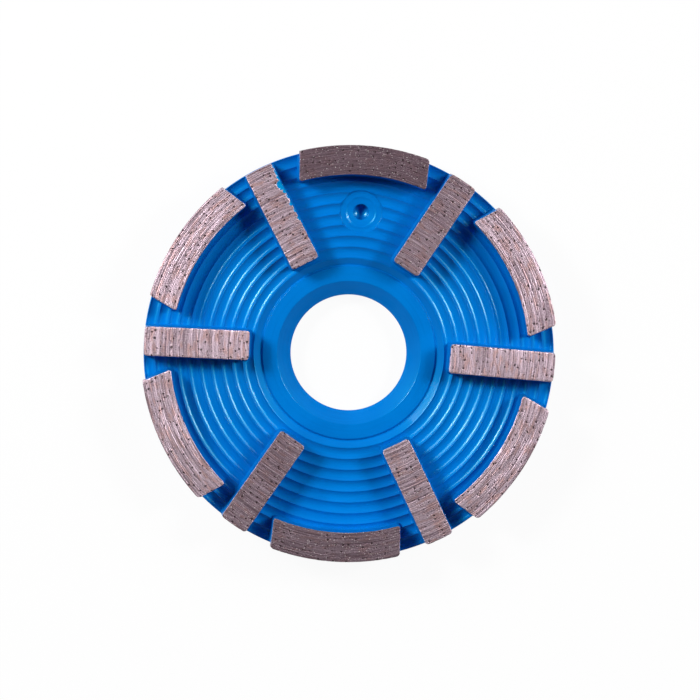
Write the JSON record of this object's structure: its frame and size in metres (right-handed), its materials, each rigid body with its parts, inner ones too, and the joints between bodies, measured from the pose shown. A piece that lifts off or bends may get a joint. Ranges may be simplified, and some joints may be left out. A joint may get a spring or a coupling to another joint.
{
  "type": "diamond cup wheel",
  "caption": "Round steel grinding wheel with a central bore, a ridged front face and raised abrasive segments along the radii and around the rim.",
  "frame": {"origin": "centre of the bore in the plane of the back face", "axes": "+Z along the bore, out of the front face where the segments stand; +X along the middle of radial_segment_1"},
  "size_m": [0.0788, 0.0796, 0.011],
  "materials": {
    "blue_paint": "glossy thick enamel over turned steel",
    "diamond_matrix": "sintered metal, ground flat on top"
  },
  "bodies": {
    "root": {"wheel_body": "blue_paint", "radial_segment_1": "diamond_matrix", "radial_segment_2": "diamond_matrix", "radial_segment_3": "diamond_matrix", "radial_segment_4": "diamond_matrix", "radial_segment_5": "diamond_matrix", "radial_segment_6": "diamond_matrix", "rim_segment_1": "diamond_matrix", "rim_segment_2": "diamond_matrix", "rim_segment_3": "diamond_matrix", "rim_segment_4": "diamond_matrix", "rim_segment_5": "diamond_matrix", "rim_segment_6": "diamond_matrix"}
  },
  "joints": []
}
